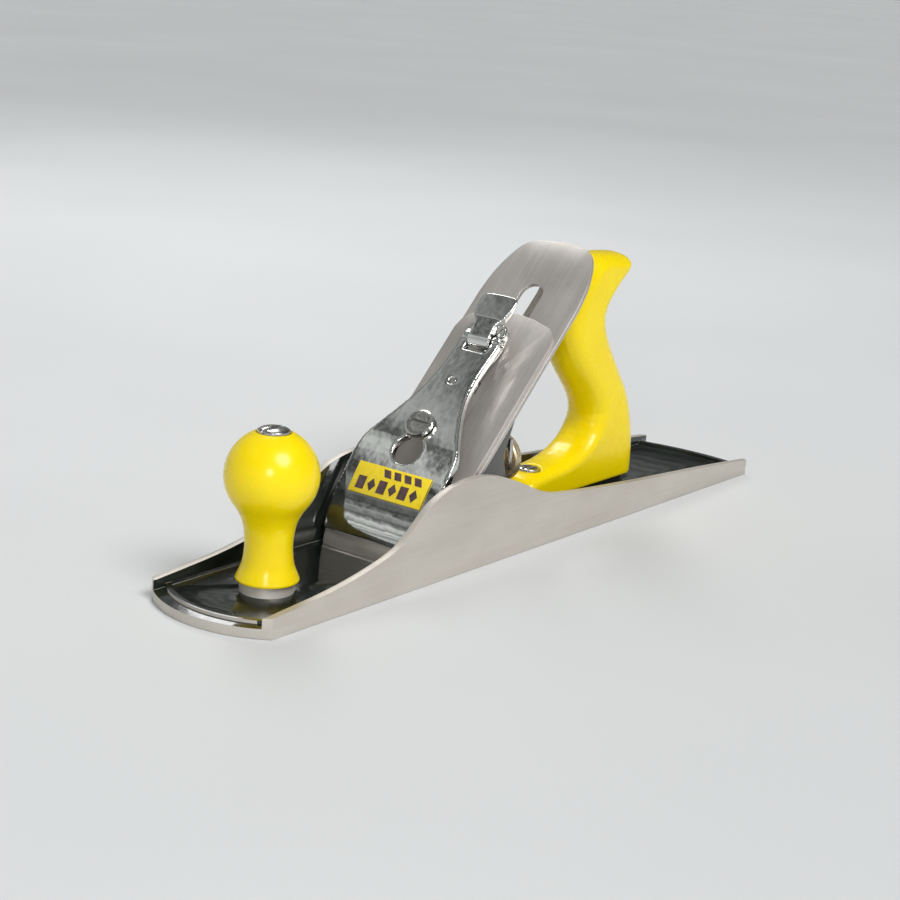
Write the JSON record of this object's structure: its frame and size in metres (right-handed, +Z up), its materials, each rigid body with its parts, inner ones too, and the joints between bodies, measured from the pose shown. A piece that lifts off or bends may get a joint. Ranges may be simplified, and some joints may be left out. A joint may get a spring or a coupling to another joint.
{
  "type": "bench plane",
  "caption": "Metal jack-size bench plane with a cast body, sliding frog, adjustable iron, lever cap, round front knob and shaped rear handle.",
  "frame": {"origin": "middle of the sole's footprint, on the sole", "axes": "+X along the plane to the toe, +Y to the user's left, +Z up from the sole"},
  "size_m": [0.355, 0.061, 0.1208],
  "materials": {
    "cast_body": "glossy black japanning inside, ground grey sole, cheeks and edges",
    "cast_frog": "glossy black japanning with a ground seat",
    "iron_steel": "ground tool steel with long scratches",
    "breaker_steel": "ground steel, brighter than the iron",
    "cap_chrome": "polished nickel or chrome plating",
    "wheel_brass": "turned brass with a knurled rim",
    "fastener_steel": "bright zinc or nickel plated steel",
    "lever_steel": "pressed steel",
    "handle_plastic": "moulded glossy yellow plastic",
    "label_foil": "yellow foil with a plain geometric border"
  },
  "bodies": {
    "body": {"plane_body": "cast_body", "frog_screw_left": "fastener_steel", "frog_screw_right": "fastener_steel", "frog_washer_left": "fastener_steel", "frog_washer_right": "fastener_steel", "front_knob": "handle_plastic", "knob_bolt": "fastener_steel", "knob_nut": "fastener_steel", "tote": "handle_plastic", "tote_bolt": "fastener_steel", "tote_nut": "fastener_steel", "tote_toe_screw": "fastener_steel"},
    "frog": {"frog": "cast_frog", "frog_adjusting_plate": "lever_steel", "frog_plate_screw": "fastener_steel", "depth_stud": "fastener_steel", "yoke_pin": "fastener_steel", "lateral_pivot": "fastener_steel", "lever_cap_screw": "fastener_steel"},
    "frog_adjuster": {"frog_adjusting_screw": "fastener_steel"},
    "depth_nut": {"depth_adjusting_nut": "wheel_brass"},
    "yoke": {"depth_yoke": "lever_steel"},
    "lateral": {"lateral_lever": "lever_steel", "roller_rivet": "fastener_steel"},
    "roller": {"lateral_roller": "fastener_steel"},
    "iron_screw": {"cap_iron_screw": "fastener_steel"},
    "iron": {"plane_iron": "iron_steel", "chip_breaker": "breaker_steel"},
    "cap": {"lever_cap": "cap_chrome", "cam_pin": "fastener_steel", "lever_cap_spring": "lever_steel", "spring_rivet": "fastener_steel", "label_plate": "label_foil"},
    "cam": {"cam_lever": "cap_chrome"}
  },
  "joints": [
    {"name": "frog_screw_turn", "type": "hinge", "parent": "frog", "child": "frog_adjuster", "pos_m": [0.003, 0, 0.0086], "axis": [1, 0, 0], "range_deg": [-540, 540]},
    {"name": "frog_slide", "type": "slide", "parent": "body", "child": "frog", "axis": [1, 0, 0], "range_m": [-0.0012, 0.0012]},
    {"name": "depth_nut_turn", "type": "hinge", "parent": "frog", "child": "depth_nut", "pos_m": [0, 0, 0.031], "axis": [1, 0, 0], "range_deg": [-360, 360]},
    {"name": "yoke_rock", "type": "hinge", "parent": "frog", "child": "yoke", "pos_m": [0.0053, 0, 0.05445], "axis": [0, 1, 0], "range_deg": [-3.3, 3.3]},
    {"name": "iron_feed", "type": "slide", "parent": "frog", "child": "iron_screw", "axis": [-0.7071, 0, 0.7071], "range_m": [-0.0008, 0.0008]},
    {"name": "iron_tilt", "type": "hinge", "parent": "iron_screw", "child": "iron", "pos_m": [0.02227, 0, 0.05303], "axis": [0.7071, 0, 0.7071], "range_deg": [-0.5, 0.5]},
    {"name": "lateral_swing", "type": "hinge", "parent": "frog", "child": "lateral", "pos_m": [-0.00107, 0, 0.07637], "axis": [0.7071, 0, 0.7071], "range_deg": [-9.3, 9.3]},
    {"name": "roller_spin", "type": "hinge", "parent": "lateral", "child": "roller", "pos_m": [0.00671, 0, 0.06859], "axis": [0.7071, 0, 0.7071], "continuous": true},
    {"name": "lever_cap_slide", "type": "slide", "parent": "frog", "child": "cap", "axis": [-0.7071, 0, 0.7071], "range_m": [0, 0.0115]},
    {"name": "cam_lift", "type": "hinge", "parent": "cap", "child": "cam", "pos_m": [0.00947, 0, 0.08407], "axis": [0, 1, 0], "range_deg": [0, 95]}
  ],
  "couplings": [
    {"joint": "frog_screw_turn", "follows": "frog_slide", "rad_per_m": 7854},
    {"joint": "yoke_rock", "follows": "iron_feed", "rad_per_m": -69.93},
    {"joint": "depth_nut_turn", "follows": "iron_feed", "rad_per_m": -7854},
    {"joint": "iron_tilt", "follows": "lateral_swing", "ratio": -0.05}
  ]
}
